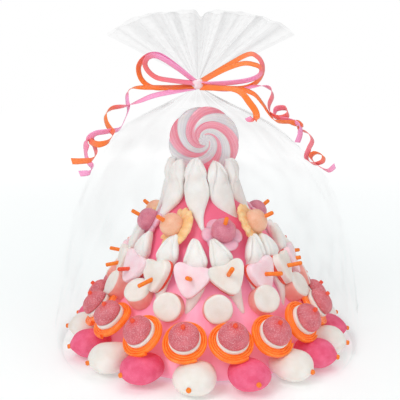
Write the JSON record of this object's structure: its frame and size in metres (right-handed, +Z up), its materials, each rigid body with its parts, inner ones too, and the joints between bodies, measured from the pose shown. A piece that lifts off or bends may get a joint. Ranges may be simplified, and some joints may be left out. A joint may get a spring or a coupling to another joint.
{
  "type": "candy tower",
  "caption": "Candy tower: foam, jelly and rolled sweets pinned in rings to a pink cone under a swirl lollipop, in a clear bag tied with a curled ribbon bow.",
  "frame": {"origin": "middle of the flat bottom of the bag, on the surface it stands on", "axes": "+Z up along the cone, -Y towards the front, +X to the right seen from the front"},
  "size_m": [0.304, 0.3125, 0.323],
  "materials": {
    "card": "matt white card",
    "white_foam": "soft marshmallow foam",
    "pink_foam": "soft marshmallow foam",
    "orange_jelly": "rolled orange sweet under a sugared red jelly",
    "boiled_sugar": "glossy pink and white swirl",
    "mixed_sweets": "pink cone, white foam mice and rounds, pink and white hearts, jelly flowers",
    "ribbon": "satin ribbon from pink to orange",
    "clear_film": "clear glossy film"
  },
  "bodies": {
    "root": {"board": "card", "foam_drop_01": "white_foam", "foam_drop_02": "pink_foam", "foam_drop_03": "white_foam", "foam_drop_04": "pink_foam", "foam_drop_05": "white_foam", "foam_drop_06": "pink_foam", "foam_drop_07": "white_foam", "foam_drop_08": "pink_foam", "foam_drop_09": "white_foam", "foam_drop_10": "pink_foam", "foam_drop_11": "white_foam", "foam_drop_12": "pink_foam", "foam_drop_13": "white_foam", "foam_drop_14": "pink_foam", "foam_drop_15": "white_foam", "foam_drop_16": "pink_foam", "foam_drop_17": "white_foam", "foam_drop_18": "pink_foam", "foam_drop_19": "white_foam", "foam_drop_20": "pink_foam", "wheel_with_jelly_01": "orange_jelly", "wheel_with_jelly_02": "orange_jelly", "wheel_with_jelly_03": "orange_jelly", "wheel_with_jelly_04": "orange_jelly", "wheel_with_jelly_05": "orange_jelly", "wheel_with_jelly_06": "orange_jelly", "wheel_with_jelly_07": "orange_jelly", "wheel_with_jelly_08": "orange_jelly", "wheel_with_jelly_09": "orange_jelly", "wheel_with_jelly_10": "orange_jelly", "wheel_with_jelly_11": "orange_jelly", "wheel_with_jelly_12": "orange_jelly", "wheel_with_jelly_13": "orange_jelly", "wheel_with_jelly_14": "orange_jelly", "wheel_with_jelly_15": "orange_jelly", "wheel_with_jelly_16": "orange_jelly", "wheel_with_jelly_17": "orange_jelly", "swirl_lollipop": "boiled_sugar", "cone_with_pressed_sweets": "mixed_sweets", "ribbon_bow": "ribbon", "clear_bag": "clear_film"}
  },
  "joints": []
}
